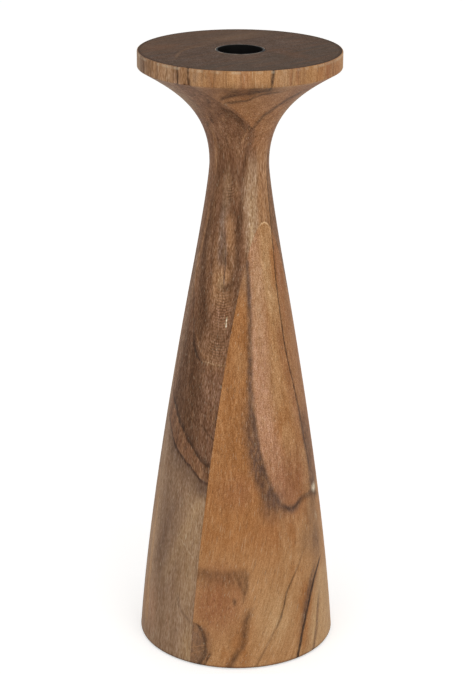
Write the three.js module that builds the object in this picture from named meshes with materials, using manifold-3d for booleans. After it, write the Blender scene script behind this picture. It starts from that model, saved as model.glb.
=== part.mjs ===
// A turned wooden candle holder. Its blank is three boards glued face to face, turned to a tall
// waisted cone with a flat dish on top. The neck between them is thinner than the middle board,
// so each outer board is left as two pieces, one on the cone and one on the dish. A steel cup for
// a dinner candle is pressed into the dish, and a felt disc is stuck in a recess under the base.
// Millimetres, +Z up. The origin is on the table under the axis. The boards are stacked along Y,
// and the front board faces -Y.

import * as THREE from "three";
import { mergeVertices } from "three/addons/utils/BufferGeometryUtils.js";
import Module from "manifold-3d";

// Turned body: heights, and diameters from the base up
const HOLDER_HEIGHT = 311;
const BASE_DIAMETER = 101.4;
const BASE_EDGE_ROUND = 1;
const WAIST_DIAMETER = 50.4;
const WAIST_DROP = 123; // from the dish's top face down to the straightest stretch of the cone
const NECK_DIAMETER = 29.5;
const NECK_DROP = 55.6; // from the dish's top face down to the thinnest point
const DISH_DIAMETER = 100;
const DISH_RIM_HEIGHT = 8;
const DISH_EDGE_ROUND = 0.6;

// How the outline leaves and reaches those points: its slope as radius lost per unit of height,
// and how far each end of a curve holds its direction
const BASE_SLOPE = 0.073;
const BASE_HOLD = 53.6;
const WAIST_SLOPE = 0.178;
const WAIST_HOLD_BELOW = 64.8;
const WAIST_HOLD_ABOVE = 8.4;
const NECK_HOLD_BELOW = 11;
const NECK_HOLD_ABOVE = 25;
const FLARE_HOLD = 22;
const FLARE_ANGLE = 30.3; // degrees above the horizontal, where the flare meets the rim

// Boards of the blank
const FRONT_GLUE_OFFSET = 18.25; // from the turning axis to the front glue line
const CORE_BOARD_THICKNESS = 35;
const GLUE_LINE = 0.2;
const BLANK_MARGIN = 2; // wood that the turning takes off the blank's outer faces

// Candle cup
const CANDLE_BORE = 22;
const CUP_DEPTH = 24;
const CUP_WALL = 0.8;
const CUP_FLOOR = 1;
const CUP_FLOOR_FILLET = 1.5;
const CUP_HEEL_ROUND = 1.2;
const LIP_WIDTH = 1.3; // from the bore to the lip's outer edge
const LIP_THICKNESS = 1;
const LIP_EDGE_ROUND = 0.3;
const CUP_CLEARANCE = 0.2; // all round the cup in its hole

// Felt disc
const FELT_DIAMETER = 84;
const FELT_THICKNESS = 2;
const FELT_PROUD = 0.5; // how far the felt stands below the wood
const FELT_CLEARANCE = 0.4; // between the felt's edge and the recess

// Fineness of the meshes
const TURNS = 64;
const CURVE_STEPS = 14;
const ROUND_STEPS = 3;
const SAME_POINT = 1e-6; // points of an outline closer than this are one point

const QUARTER = Math.PI / 2;
const baseRadius = BASE_DIAMETER / 2;
const dishRadius = DISH_DIAMETER / 2;
const neckRadius = NECK_DIAMETER / 2;
const waistRadius = WAIST_DIAMETER / 2;
const boreRadius = CANDLE_BORE / 2;
const barrelRadius = boreRadius + CUP_WALL;
const lipRadius = boreRadius + LIP_WIDTH;
const feltRadius = FELT_DIAMETER / 2;
const cupBottom = HOLDER_HEIGHT - CUP_DEPTH - CUP_FLOOR;

// Outlines, as points of radius and height

function point(radius, height) {
  return new THREE.Vector2(radius, height);
}

// A quarter round about a centre, turning from one angle to the other
function round(radius, height, size, from, to) {
  const clockwise = to < from;
  return new THREE.EllipseCurve(radius, height, size, size, from, to, clockwise).getPoints(ROUND_STEPS);
}

function curve(start, startHandle, endHandle, end) {
  return new THREE.CubicBezierCurve(start, startHandle, endHandle, end).getPoints(CURVE_STEPS);
}

// Joins stretches into one outline and drops points that repeat
function outlineOf(...stretches) {
  const outline = [];
  for (const next of stretches.flat()) {
    const last = outline.at(-1);
    if (!last || last.distanceTo(next) > SAME_POINT) outline.push(next);
  }
  return outline;
}

// The cone from the base up to the neck: a full belly, then a waist that hollows into the neck
function coneOutline() {
  const base = point(baseRadius, FELT_PROUD + BASE_EDGE_ROUND);
  const waist = point(waistRadius, HOLDER_HEIGHT - WAIST_DROP);
  const neck = point(neckRadius, HOLDER_HEIGHT - NECK_DROP);
  const belly = curve(
    base,
    point(base.x - BASE_SLOPE * BASE_HOLD, base.y + BASE_HOLD),
    point(waist.x + WAIST_SLOPE * WAIST_HOLD_BELOW, waist.y - WAIST_HOLD_BELOW),
    waist,
  );
  const hollow = curve(
    waist,
    point(waist.x - WAIST_SLOPE * WAIST_HOLD_ABOVE, waist.y + WAIST_HOLD_ABOVE),
    point(neck.x, neck.y - NECK_HOLD_BELOW),
    neck,
  );
  return outlineOf(belly, hollow);
}

// The flare from the neck out to the underside of the dish's rim
function flareOutline() {
  const neck = point(neckRadius, HOLDER_HEIGHT - NECK_DROP);
  const rim = point(dishRadius, HOLDER_HEIGHT - DISH_RIM_HEIGHT);
  const angle = THREE.MathUtils.degToRad(FLARE_ANGLE);
  return curve(
    neck,
    point(neck.x, neck.y + NECK_HOLD_ABOVE),
    point(rim.x - FLARE_HOLD * Math.cos(angle), rim.y - FLARE_HOLD * Math.sin(angle)),
    rim,
  );
}

// The whole turned body, with the felt's recess below and the cup's stepped hole on top
function bodyOutline() {
  const recessTop = FELT_THICKNESS + GLUE_LINE;
  const recessRadius = feltRadius + FELT_CLEARANCE;
  const holeRadius = barrelRadius + CUP_CLEARANCE;
  const lipSeatRadius = lipRadius + CUP_CLEARANCE;
  const lipSeat = HOLDER_HEIGHT - LIP_THICKNESS - CUP_CLEARANCE;
  const holeFloor = cupBottom - CUP_CLEARANCE;
  return outlineOf(
    point(0, recessTop),
    point(recessRadius, recessTop),
    point(recessRadius, FELT_PROUD),
    round(baseRadius - BASE_EDGE_ROUND, FELT_PROUD + BASE_EDGE_ROUND, BASE_EDGE_ROUND, -QUARTER, 0),
    coneOutline(),
    flareOutline(),
    round(dishRadius - DISH_EDGE_ROUND, HOLDER_HEIGHT - DISH_EDGE_ROUND, DISH_EDGE_ROUND, 0, QUARTER),
    point(lipSeatRadius, HOLDER_HEIGHT),
    point(lipSeatRadius, lipSeat),
    point(holeRadius, lipSeat),
    point(holeRadius, holeFloor),
    point(0, holeFloor),
  );
}

// A drawn cup with a thick rounded lip that lies flush with the dish
function cupOutline() {
  const top = HOLDER_HEIGHT;
  const lipUnderside = top - LIP_THICKNESS;
  const floor = top - CUP_DEPTH;
  return outlineOf(
    point(0, cupBottom),
    round(barrelRadius - CUP_HEEL_ROUND, cupBottom + CUP_HEEL_ROUND, CUP_HEEL_ROUND, -QUARTER, 0),
    point(barrelRadius, lipUnderside),
    point(lipRadius, lipUnderside),
    round(lipRadius - LIP_EDGE_ROUND, top - LIP_EDGE_ROUND, LIP_EDGE_ROUND, 0, QUARTER),
    round(boreRadius + LIP_EDGE_ROUND, top - LIP_EDGE_ROUND, LIP_EDGE_ROUND, QUARTER, 2 * QUARTER),
    round(boreRadius - CUP_FLOOR_FILLET, floor + CUP_FLOOR_FILLET, CUP_FLOOR_FILLET, 0, -QUARTER),
    point(0, floor),
  );
}

function feltOutline() {
  return outlineOf(
    point(0, 0),
    point(feltRadius, 0),
    point(feltRadius, FELT_THICKNESS),
    point(0, FELT_THICKNESS),
  );
}

// Solids

// Turns an outline about +Z
function turned(outline) {
  return new THREE.LatheGeometry(outline, TURNS).rotateX(QUARTER);
}

const wasm = await Module();
wasm.setup();

// A closed geometry as a solid that can be cut
function solidOf(geometry) {
  const bare = geometry.clone().deleteAttribute("normal").deleteAttribute("uv");
  const merged = mergeVertices(bare);
  const corners = merged.index.array;
  const triVerts = [];
  for (let i = 0; i < corners.length; i += 3) {
    const [a, b, c] = corners.slice(i, i + 3);
    if (a !== b && b !== c && c !== a) triVerts.push(a, b, c);
  }
  const vertProperties = merged.attributes.position.array;
  return new wasm.Manifold(
    new wasm.Mesh({ numProp: 3, vertProperties, triVerts: new Uint32Array(triVerts) }),
  );
}

// A cut solid as a geometry for a mesh
function geometryOf(solid) {
  const mesh = solid.getMesh();
  const geometry = new THREE.BufferGeometry();
  geometry.setAttribute("position", new THREE.BufferAttribute(mesh.vertProperties, 3));
  geometry.setIndex(new THREE.BufferAttribute(mesh.triVerts, 1));
  geometry.computeVertexNormals();
  return geometry;
}

// The faces of the boards on both sides of each glue line, and the blank's outer faces
const halfGlue = GLUE_LINE / 2;
const frontGlue = -FRONT_GLUE_OFFSET;
const backGlue = CORE_BOARD_THICKNESS - FRONT_GLUE_OFFSET;
const blankReach = Math.max(baseRadius, dishRadius) + BLANK_MARGIN;
const blankBottom = -BLANK_MARGIN;
const blankTop = HOLDER_HEIGHT + BLANK_MARGIN;

// The outer boards are parted at the neck
const neckHeight = HOLDER_HEIGHT - NECK_DROP;
const coneTop = neckHeight - halfGlue;
const dishBottom = neckHeight + halfGlue;

// A piece of the blank between two faces across Y and two heights
function blankPiece(front, back, bottom, top) {
  const box = new THREE.BoxGeometry(2 * blankReach, back - front, top - bottom);
  return solidOf(box.translate(0, (front + back) / 2, (bottom + top) / 2));
}

const turnedBody = solidOf(turned(bodyOutline()));
const boardPieces = {
  core_board: blankPiece(frontGlue + halfGlue, backGlue - halfGlue, blankBottom, blankTop),
  cone_front_board: blankPiece(-blankReach, frontGlue - halfGlue, blankBottom, coneTop),
  cone_back_board: blankPiece(backGlue + halfGlue, blankReach, blankBottom, coneTop),
  dish_front_board: blankPiece(-blankReach, frontGlue - halfGlue, dishBottom, blankTop),
  dish_back_board: blankPiece(backGlue + halfGlue, blankReach, dishBottom, blankTop),
};

// Materials

const woodColours = {
  core_board: 0x7d604a,
  cone_front_board: 0xa87648,
  cone_back_board: 0x94704f,
  dish_front_board: 0xa57b55,
  dish_back_board: 0x94704f,
};

function oiledWood(colour) {
  return new THREE.MeshStandardMaterial({ color: colour, roughness: 0.6, metalness: 0 });
}

const blackSteel = new THREE.MeshStandardMaterial({ color: 0x17171a, roughness: 0.5, metalness: 0.6 });
const darkFelt = new THREE.MeshStandardMaterial({ color: 0x2e2925, roughness: 0.95, metalness: 0 });

// Assembly

const candleHolder = new THREE.Group();

function addPart(name, geometry, material) {
  const mesh = new THREE.Mesh(geometry, material);
  mesh.name = name;
  candleHolder.add(mesh);
}

for (const [name, blank] of Object.entries(boardPieces)) {
  addPart(name, geometryOf(turnedBody.intersect(blank)), oiledWood(woodColours[name]));
}
addPart("candle_cup", turned(cupOutline()), blackSteel);
addPart("base_felt", turned(feltOutline()), darkFelt);

export default candleHolder;
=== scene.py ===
"""Looks of a turned wooden candle holder, built around its CAD frame.

The holder is three teak boards glued face to face and turned, with a black steel cup pressed into the
dish and a felt disc under the base. Sizes are in metres. Bearings are degrees about the turning axis: 0
faces -Y, where the front board is, and they grow towards +X.
"""

import math
from collections import namedtuple

import bpy
from mathutils import Matrix, Vector


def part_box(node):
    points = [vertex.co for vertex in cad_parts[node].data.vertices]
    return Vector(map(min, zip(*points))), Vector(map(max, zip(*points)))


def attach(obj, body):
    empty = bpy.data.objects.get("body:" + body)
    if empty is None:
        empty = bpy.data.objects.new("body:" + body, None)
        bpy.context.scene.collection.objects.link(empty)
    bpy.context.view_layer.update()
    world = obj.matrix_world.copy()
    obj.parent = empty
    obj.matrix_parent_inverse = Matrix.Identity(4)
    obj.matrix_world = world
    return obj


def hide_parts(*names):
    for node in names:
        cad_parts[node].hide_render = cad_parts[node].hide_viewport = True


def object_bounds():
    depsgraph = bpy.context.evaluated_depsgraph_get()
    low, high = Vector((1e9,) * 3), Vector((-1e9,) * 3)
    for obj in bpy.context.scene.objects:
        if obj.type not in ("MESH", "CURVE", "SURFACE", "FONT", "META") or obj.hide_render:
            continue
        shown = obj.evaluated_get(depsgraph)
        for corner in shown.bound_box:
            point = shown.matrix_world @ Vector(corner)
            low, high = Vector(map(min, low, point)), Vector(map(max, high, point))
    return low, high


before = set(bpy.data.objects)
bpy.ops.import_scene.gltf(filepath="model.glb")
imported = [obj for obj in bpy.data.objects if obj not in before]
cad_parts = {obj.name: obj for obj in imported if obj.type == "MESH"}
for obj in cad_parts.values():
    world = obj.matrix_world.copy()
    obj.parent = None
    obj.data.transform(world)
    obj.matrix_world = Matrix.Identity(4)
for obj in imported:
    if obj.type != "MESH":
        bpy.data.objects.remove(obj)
cad_low, cad_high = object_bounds()

bl_info = {
    "name": "Turned candle holder",
    "version": (1, 0, 0),
    "blender": (4, 5, 0),
    "location": "3D View > Sidebar > Candle holder",
    "description": "Builds a turned teak candle holder with its steel cup, felt disc and studio stage",
    "category": "Add Mesh",
}

MM = 0.001


def linear(hex_colour):
    """A linear colour with alpha, from an sRGB hex value."""
    channels = [int(hex_colour[i:i + 2], 16) / 255 for i in (1, 3, 5)]
    straight = [c / 12.92 if c <= 0.04045 else ((c + 0.055) / 1.055) ** 2.4 for c in channels]
    return (*straight, 1.0)


# Places that the frame gives

core_low, core_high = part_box("core_board")
_, cone_front_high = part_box("cone_front_board")
cone_back_low, cone_back_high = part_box("cone_back_board")
dish_front_low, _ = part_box("dish_front_board")
dish_back_low, dish_back_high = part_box("dish_back_board")
cup_low, cup_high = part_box("candle_cup")
felt_low, felt_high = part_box("base_felt")

FRONT_GLUE = (cone_front_high.y + core_low.y) / 2
BACK_GLUE = (core_high.y + cone_back_low.y) / 2
NECK_HEIGHT = (cone_back_high.z + dish_back_low.z) / 2
LIP_RADIUS = (cup_high.x - cup_low.x) / 2


# Sizes and colours that a user would change


def length(name, description, default):
    """A size in metres."""
    return bpy.props.FloatProperty(
        name=name, description=description, default=default, subtype="DISTANCE", unit="LENGTH", precision=5
    )


def colour(name, description, hex_colour):
    """A colour with alpha, whose default is an sRGB hex value."""
    default = linear(hex_colour)
    return bpy.props.FloatVectorProperty(
        name=name, description=description, default=default, size=4, min=0, max=1, subtype="COLOR"
    )


class TurnedBodySizes(bpy.types.PropertyGroup):
    """Sizes of the turned body, and of the boards in its blank"""

    height: length("Height", "From the table to the dish's top face", core_high.z)
    foot: length("Foot", "How far the wood stands above the table", core_low.z)
    base_diameter: length("Base", "Diameter at the foot of the cone", core_high.x - core_low.x)
    base_round: length("Base round", "Radius of the cone's lower edge", 1.0 * MM)
    waist_diameter: length("Waist", "Diameter where the cone is straightest", 50.4 * MM)
    waist_drop: length("Waist drop", "From the dish's top face down to the waist", 123 * MM)
    neck_diameter: length("Neck", "Diameter of the thinnest place", 29.5 * MM)
    neck_drop: length("Neck drop", "From the dish's top face down to the neck", 55.6 * MM)
    dish_diameter: length("Dish", "Diameter of the dish", dish_back_high.y - dish_front_low.y)
    rim_height: length("Rim", "Height of the dish's rim", 8.0 * MM)
    rim_round: length("Rim round", "Radius of the rim's top edge", 0.6 * MM)
    rim_ease: length("Rim ease", "Radius of the rim's lower edge", 0.35 * MM)
    glue_gap: length("Glue gap", "Gap between neighbouring boards", 0.02 * MM)


class CandleCupSizes(bpy.types.PropertyGroup):
    """Sizes of the steel cup"""

    bore: length("Bore", "Inner diameter, for a dinner candle", 22.0 * MM)
    wall: length("Wall", "Thickness of the cup's wall", 0.8 * MM)
    floor: length("Floor", "Thickness of the cup's floor", 1.0 * MM)
    floor_fillet: length("Floor fillet", "Radius inside, between wall and floor", 1.5 * MM)
    heel_round: length("Heel round", "Radius outside, between wall and floor", 1.2 * MM)
    lip_thickness: length("Lip", "Thickness of the lip", 1.0 * MM)
    lip_round: length("Lip round", "Radius of the lip's edges", 0.3 * MM)
    clearance: length("Clearance", "Gap between the cup and its hole", 0.2 * MM)


class FeltSizes(bpy.types.PropertyGroup):
    """Sizes of the felt disc"""

    diameter: length("Diameter", "Diameter of the felt disc", felt_high.x - felt_low.x)
    thickness: length("Thickness", "Thickness of the felt", felt_high.z - felt_low.z)
    edge_round: length("Edge round", "Radius of the worn cut edge", 0.45 * MM)
    clearance: length("Clearance", "Gap between the felt and its recess", 0.4 * MM)


class FinishColours(bpy.types.PropertyGroup):
    """Colours of the finishes"""

    honey: colour("Honey", "Plain heartwood of the front board", "#B08256")
    amber: colour("Amber", "Warm heartwood beside the front glue line", "#A06B3D")
    rose: colour("Rose", "Pale pinkish heartwood", "#AF8060")
    russet: colour("Russet", "Reddish heartwood", "#925E3C")
    sienna: colour("Sienna", "Brown heartwood under the dish", "#966845")
    umber: colour("Umber", "Dark heartwood of the core board", "#573A25")
    walnut: colour("Walnut", "Middle brown of the core board", "#7A543A")
    fawn: colour("Fawn", "Lighter brown of the core board", "#8C6546")
    tan: colour("Tan", "Light patches round the eye", "#AC7F58")
    ash: colour("Ash", "Grey heart of the eye", "#6E5A4C")
    drift: colour("Drift", "Greyish outer wood of the core board", "#907258")
    # pewter also lays painted highlights down the neck and on the rim
    pewter: colour("Pewter", "Pale greyish streak beside the eye", "#AA8868")
    rim: colour("Rim", "Wood of the core board at the rim", "#A27A56")
    vein: colour("Vein", "Mineral streaks", "#3A2619")
    smoke: colour("Smoke", "Soft grey-brown streak", "#604637")
    sapwood: colour("Sapwood", "Pale sapwood", "#C6A378")
    # cream also lays the painted highlight along the dish's top edge
    cream: colour("Cream", "Pale flecks and sanded edges", "#E3D2B4")
    # the end-grain colours are darker than oiled end grain alone: they hold painted shade of the top face
    front_end_grain: colour("Front end grain", "The front board on the dish's top", "#55463B")
    core_end_grain: colour("Core end grain", "The core board on the dish's top", "#5A483C")
    back_end_grain: colour("Back end grain", "The back board on the dish's top", "#5F4B3D")
    glue: colour("Glue", "Pale glue line", "#D9B184")
    lacquer: colour("Lacquer", "Black lacquer on the cup", "#0C0B0A")
    rubbed_steel: colour("Rubbed steel", "The cup's lip where its lacquer is rubbed", "#9C8A78")
    felt: colour("Felt", "Wool of the felt disc", "#3A332D")


# Outlines, as corner points of a curve with their handles; X is the radius and Y is the height

ROUND_HANDLE = 0.5523  # handle of a quarter round, as a share of its radius

BASE_SLOPE = 0.073  # radius that the cone loses per unit of height at its foot
BASE_HOLD = 53.6 * MM  # how far the curve holds its direction there
WAIST_SLOPE = 0.178
WAIST_HOLD_BELOW = 64.8 * MM
WAIST_HOLD_ABOVE = 8.4 * MM
NECK_HOLD_BELOW = 11 * MM
NECK_HOLD_ABOVE = 25 * MM
FLARE_HOLD = 22 * MM
FLARE_ANGLE = math.radians(30.3)  # above the horizontal, where the flare meets the rim


class Outline:
    """An outline that is drawn point by point"""

    def __init__(self, start):
        self.points = [start]
        self.handles = []

    def line(self, *ends):
        for end in ends:
            self.handles.append(None)
            self.points.append(Vector(end))
        return self

    def curve(self, leave, arrive, end):
        self.handles.append((Vector(leave), Vector(arrive)))
        self.points.append(Vector(end))
        return self

    def round_corner(self, corner, end):
        """A quarter round that leaves the last point towards the corner and arrives at the end from it."""
        start, corner, end = self.points[-1], Vector(corner), Vector(end)
        return self.curve(start.lerp(corner, ROUND_HANDLE), end.lerp(corner, ROUND_HANDLE), end)

    def as_object(self, name, steps):
        curve = bpy.data.curves.new(name, "CURVE")
        spline = curve.splines.new("BEZIER")
        spline.bezier_points.add(len(self.points) - 1)
        spline.resolution_u = steps
        knots = spline.bezier_points
        for knot, place in zip(knots, self.points):
            knot.co = place.to_3d()
            knot.handle_left_type = knot.handle_right_type = "VECTOR"
        for start, end, handles in zip(knots, knots[1:], self.handles):
            if handles:
                start.handle_right_type = end.handle_left_type = "FREE"
                start.handle_right = handles[0].to_3d()
                end.handle_left = handles[1].to_3d()
        outline = bpy.data.objects.new(name, curve)
        bpy.context.scene.collection.objects.link(outline)
        return outline


def body_outline(body, cup, felt):
    """The turned body from the felt's recess, up the cone and the flare, to the floor of the cup's hole."""
    base, dish = body.base_diameter / 2, body.dish_diameter / 2
    neck, waist = body.neck_diameter / 2, body.waist_diameter / 2
    recess = felt.diameter / 2 + felt.clearance
    lip_seat = LIP_RADIUS + cup.clearance
    hole = cup.bore / 2 + cup.wall + cup.clearance
    foot, top = body.foot, body.height
    shoulder = foot + body.base_round
    waist_height, neck_height = top - body.waist_drop, top - body.neck_drop
    rim_foot = top - body.rim_height
    slope = Vector((math.cos(FLARE_ANGLE), math.sin(FLARE_ANGLE)))
    rim_corner = Vector((dish, rim_foot))
    return (
        Outline(Vector((0, felt.thickness)))
        .line((recess, felt.thickness), (recess, foot), (base - body.base_round, foot))
        .round_corner((base, foot), (base, shoulder))
        .curve(
            (base - BASE_SLOPE * BASE_HOLD, shoulder + BASE_HOLD),
            (waist + WAIST_SLOPE * WAIST_HOLD_BELOW, waist_height - WAIST_HOLD_BELOW),
            (waist, waist_height),
        )
        .curve(
            (waist - WAIST_SLOPE * WAIST_HOLD_ABOVE, waist_height + WAIST_HOLD_ABOVE),
            (neck, neck_height - NECK_HOLD_BELOW),
            (neck, neck_height),
        )
        .curve(
            (neck, neck_height + NECK_HOLD_ABOVE),
            rim_corner - slope * FLARE_HOLD,
            rim_corner - slope * body.rim_ease,
        )
        .round_corner(rim_corner, rim_corner + Vector((0, body.rim_ease)))
        .line((dish, top - body.rim_round))
        .round_corner((dish, top), (dish - body.rim_round, top))
        .line(
            (lip_seat, top),
            (lip_seat, top - cup.lip_thickness - cup.clearance),
            (hole, top - cup.lip_thickness - cup.clearance),
            (hole, cup_low.z - cup.clearance),
            (0, cup_low.z - cup.clearance),
        )
    )


def cup_outline(cup):
    """A drawn cup with a rounded lip, from the middle of its underside round to the middle of its floor."""
    bore, barrel, lip = cup.bore / 2, cup.bore / 2 + cup.wall, LIP_RADIUS
    bottom, top = cup_low.z, cup_high.z
    floor = bottom + cup.floor
    edge = cup.lip_round
    return (
        Outline(Vector((0, bottom)))
        .line((barrel - cup.heel_round, bottom))
        .round_corner((barrel, bottom), (barrel, bottom + cup.heel_round))
        .line((barrel, top - cup.lip_thickness), (lip, top - cup.lip_thickness), (lip, top - edge))
        .round_corner((lip, top), (lip - edge, top))
        .line((bore + edge, top))
        .round_corner((bore, top), (bore, top - edge))
        .line((bore, floor + cup.floor_fillet))
        .round_corner((bore, floor), (bore - cup.floor_fillet, floor))
        .line((0, floor))
    )


def felt_outline(felt):
    """A disc with a worn lower edge, from the middle of its underside round to the middle of its top."""
    radius, edge = felt.diameter / 2, felt.edge_round
    return (
        Outline(Vector((0, 0)))
        .line((radius - edge, 0))
        .round_corner((radius, 0), (radius, edge))
        .line((radius, felt.thickness), (0, felt.thickness))
    )


# Node trees


def add_node(tree, kind, *inputs, **settings):
    """Adds a node, and fills its visible sockets in order with the inputs.

    A setting names a property of the node, or one of its sockets. A node or a socket is linked, a plain
    value is set, and None leaves a socket as it is.
    """
    node = tree.nodes.new(kind)
    for name in [name for name in settings if hasattr(node, name)]:
        setattr(node, name, settings.pop(name))
    visible = [socket for socket in node.inputs if socket.enabled]
    by_name = [(node.inputs[name], value) for name, value in settings.items()]
    for socket, value in [*zip(visible, inputs), *by_name]:
        if isinstance(value, bpy.types.Node):
            value = next(output for output in value.outputs if output.enabled)
        if isinstance(value, bpy.types.NodeSocket):
            tree.links.new(value, socket)
        elif value is not None:
            socket.default_value = value
    return node


def new_shape_tree(name, sizes):
    """A Geometry Nodes tree with a named input for each of its sizes and a mesh as its result."""
    tree = bpy.data.node_groups.new(name, "GeometryNodeTree")
    for size, kind in sizes.items():
        tree.interface.new_socket(size, in_out="INPUT", socket_type=kind)
    tree.interface.new_socket("Shape", in_out="OUTPUT", socket_type="NodeSocketGeometry")
    return tree, tree.nodes.new("NodeGroupInput").outputs


LATHE_SIZES = {"Outline": "NodeSocketObject", "Turns": "NodeSocketInt", "Finish": "NodeSocketMaterial"}
BOARD_SIZES = {**LATHE_SIZES, "Middle": "NodeSocketVector", "Extent": "NodeSocketVector"}
SPINDLE_RADIUS = 1 * MM  # of the circle that carries the outline round
POLE_WELD = 0.002 * MM  # merges the points that meet on the axis
SHARP_EDGE = math.radians(32)  # edges that turn more than this stay crisp


def add_turning(tree, outline, turns):
    """Adds the nodes that carry an outline round the turning axis and weld it to a closed shape."""
    drawn = add_node(tree, "GeometryNodeObjectInfo", outline).outputs["Geometry"]
    offset = add_node(
        tree, "GeometryNodeTransform", drawn, Translation=(-SPINDLE_RADIUS, 0, 0), Scale=(1, -1, 1)
    )
    circle = add_node(tree, "GeometryNodeCurvePrimitiveCircle", turns, Radius=SPINDLE_RADIUS)
    spindle = add_node(tree, "GeometryNodeSetCurveNormal", circle, mode="Z_UP")
    swept = add_node(tree, "GeometryNodeCurveToMesh", spindle, offset)
    welded = add_node(tree, "GeometryNodeMergeByDistance", swept, Distance=POLE_WELD)
    return add_node(tree, "GeometryNodeFlipFaces", welded)


def add_finish(tree, shape, finish):
    """Adds the nodes that shade a shape smooth between crisp edges and give it its finish."""
    smooth = add_node(tree, "GeometryNodeSetShadeSmooth", shape, None, True, domain="FACE")
    angle = add_node(tree, "GeometryNodeInputMeshEdgeAngle").outputs["Unsigned Angle"]
    crisp = add_node(tree, "FunctionNodeCompare", angle, SHARP_EDGE, operation="GREATER_THAN")
    shaded = add_node(tree, "GeometryNodeSetShadeSmooth", smooth, crisp, False, domain="EDGE")
    realized = add_node(tree, "GeometryNodeRealizeInstances", shaded)
    finished = add_node(tree, "GeometryNodeSetMaterial", realized, None, finish)
    add_node(tree, "NodeGroupOutput", finished)


def turned_board_tree():
    """Turns the body's outline and keeps what lies in one board of the blank."""
    tree, sizes = new_shape_tree("Turned board", BOARD_SIZES)
    body = add_turning(tree, sizes["Outline"], sizes["Turns"])
    block = add_node(tree, "GeometryNodeMeshCube", sizes["Extent"]).outputs["Mesh"]
    board = add_node(tree, "GeometryNodeTransform", block, Translation=sizes["Middle"])
    kept = add_node(tree, "GeometryNodeMeshBoolean", operation="INTERSECT", solver="MANIFOLD")
    for part in (board, body):
        tree.links.new(part.outputs[0], kept.inputs["Mesh 2"])
    add_finish(tree, kept, sizes["Finish"])
    return tree


def turned_piece_tree():
    """Turns an outline to a whole piece."""
    tree, sizes = new_shape_tree("Turned piece", LATHE_SIZES)
    piece = add_turning(tree, sizes["Outline"], sizes["Turns"])
    add_finish(tree, piece, sizes["Finish"])
    return tree


def make_piece(name, tree, sizes):
    """Runs a tree with its sizes and returns the result as an object with a plain mesh."""
    piece = bpy.data.objects.new(name, bpy.data.meshes.new(name))
    bpy.context.scene.collection.objects.link(piece)
    modifier = piece.modifiers.new(tree.name, "NODES")
    modifier.node_group = tree
    for socket in tree.interface.items_tree:
        if socket.in_out == "INPUT":
            modifier[socket.identifier] = sizes[socket.name]
    evaluated = piece.evaluated_get(bpy.context.evaluated_depsgraph_get())
    mesh = bpy.data.meshes.new_from_object(evaluated)
    if not mesh.polygons:
        raise RuntimeError(f"{name} came out empty")
    piece.modifiers.remove(modifier)
    piece.data = mesh
    mesh.name = name
    return piece


# Materials: places in them are in millimetres, and bearings in degrees

M_TO_MM = 1000
RAD_TO_DEG = 180 / math.pi
CURVE_MARGIN = 1.0  # room above and below the points of a drawn grain line
NOISE_MIDDLE = 0.5
NOISE_CORE = (0.3, 0.7)  # the middle of a noise, where it lies most often
EASED = {"interpolation_type": "SMOOTHSTEP"}  # lets a Map Range ease from 0 to 1

Place = namedtuple("Place", "point x y height")
Noise = namedtuple("Noise", "width run detail roughness")  # width across the grain, and run along it
Wander = namedtuple("Wander", "bearing height")  # how far each of two noises moves a mark


def draw_curve(mapping, points):
    """Draws a node's curve through points that run from 0 to 1."""
    knots = mapping.curves[0].points
    while len(knots) < len(points):
        knots.new(0.5, 0.5)
    for knot, place in zip(knots, points):
        knot.location = place
    mapping.update()


def add_place(tree):
    """Adds the place in millimetres: its point, its X and Y, and its height."""
    point = add_node(tree, "ShaderNodeTexCoord").outputs["Object"]
    point = add_node(tree, "ShaderNodeVectorMath", point, operation="SCALE", Scale=M_TO_MM)
    parts = add_node(tree, "ShaderNodeSeparateXYZ", point).outputs
    return Place(point, parts["X"], parts["Y"], parts["Z"])


def add_bearing(tree, place):
    """The bearing of a place about the turning axis."""
    ahead = add_node(tree, "ShaderNodeMath", place.y, -1.0, operation="MULTIPLY")
    angle = add_node(tree, "ShaderNodeMath", place.x, ahead, operation="ARCTAN2")
    return add_node(tree, "ShaderNodeMath", angle, RAD_TO_DEG, operation="MULTIPLY")


def add_outward(tree, place):
    """How far a place lies from the turning axis."""
    flat = add_node(tree, "ShaderNodeCombineXYZ", place.x, place.y)
    return add_node(tree, "ShaderNodeVectorMath", flat, operation="LENGTH").outputs["Value"]


def add_grain_noise(tree, point, noise):
    """Noise drawn out along the grain."""
    sizes = (1 / noise.width, 1 / noise.width, 1 / noise.run)
    scaled = add_node(tree, "ShaderNodeMapping", point, Scale=sizes)
    return add_node(
        tree, "ShaderNodeTexNoise", scaled, Scale=1.0, Detail=noise.detail, Roughness=noise.roughness
    )


def add_waver(tree, value, *shifts):
    """Shifts a value by noises, by up to about half of each one's reach either way."""
    for noise, reach in shifts:
        shift = add_node(tree, "ShaderNodeMath", noise, NOISE_MIDDLE, operation="SUBTRACT")
        value = add_node(tree, "ShaderNodeMath", shift, reach, value, operation="MULTIPLY_ADD")
    return value


def add_wandering(tree, place, noises, wander):
    """The bearing and height of a place, moved a little so that no mark runs quite true."""
    bearing = add_waver(tree, add_bearing(tree, place), *zip(noises, wander.bearing))
    height = add_waver(tree, place.height, *zip(noises, wander.height))
    return bearing, height


def add_course(tree, along, course):
    """The value that a smooth course has at each place along it. The course lists (along, value)."""
    course = sorted(course)
    first, last = course[0][0], course[-1][0]
    low = min(value for _, value in course) - CURVE_MARGIN
    high = max(value for _, value in course) + CURVE_MARGIN
    share = add_node(tree, "ShaderNodeMapRange", along, first, last)
    curve = add_node(tree, "ShaderNodeFloatCurve", 1.0, share)
    knots = [((start - first) / (last - first), (value - low) / (high - low)) for start, value in course]
    draw_curve(curve.mapping, knots)
    return add_node(tree, "ShaderNodeMapRange", curve, 0.0, 1.0, low, high)


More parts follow.
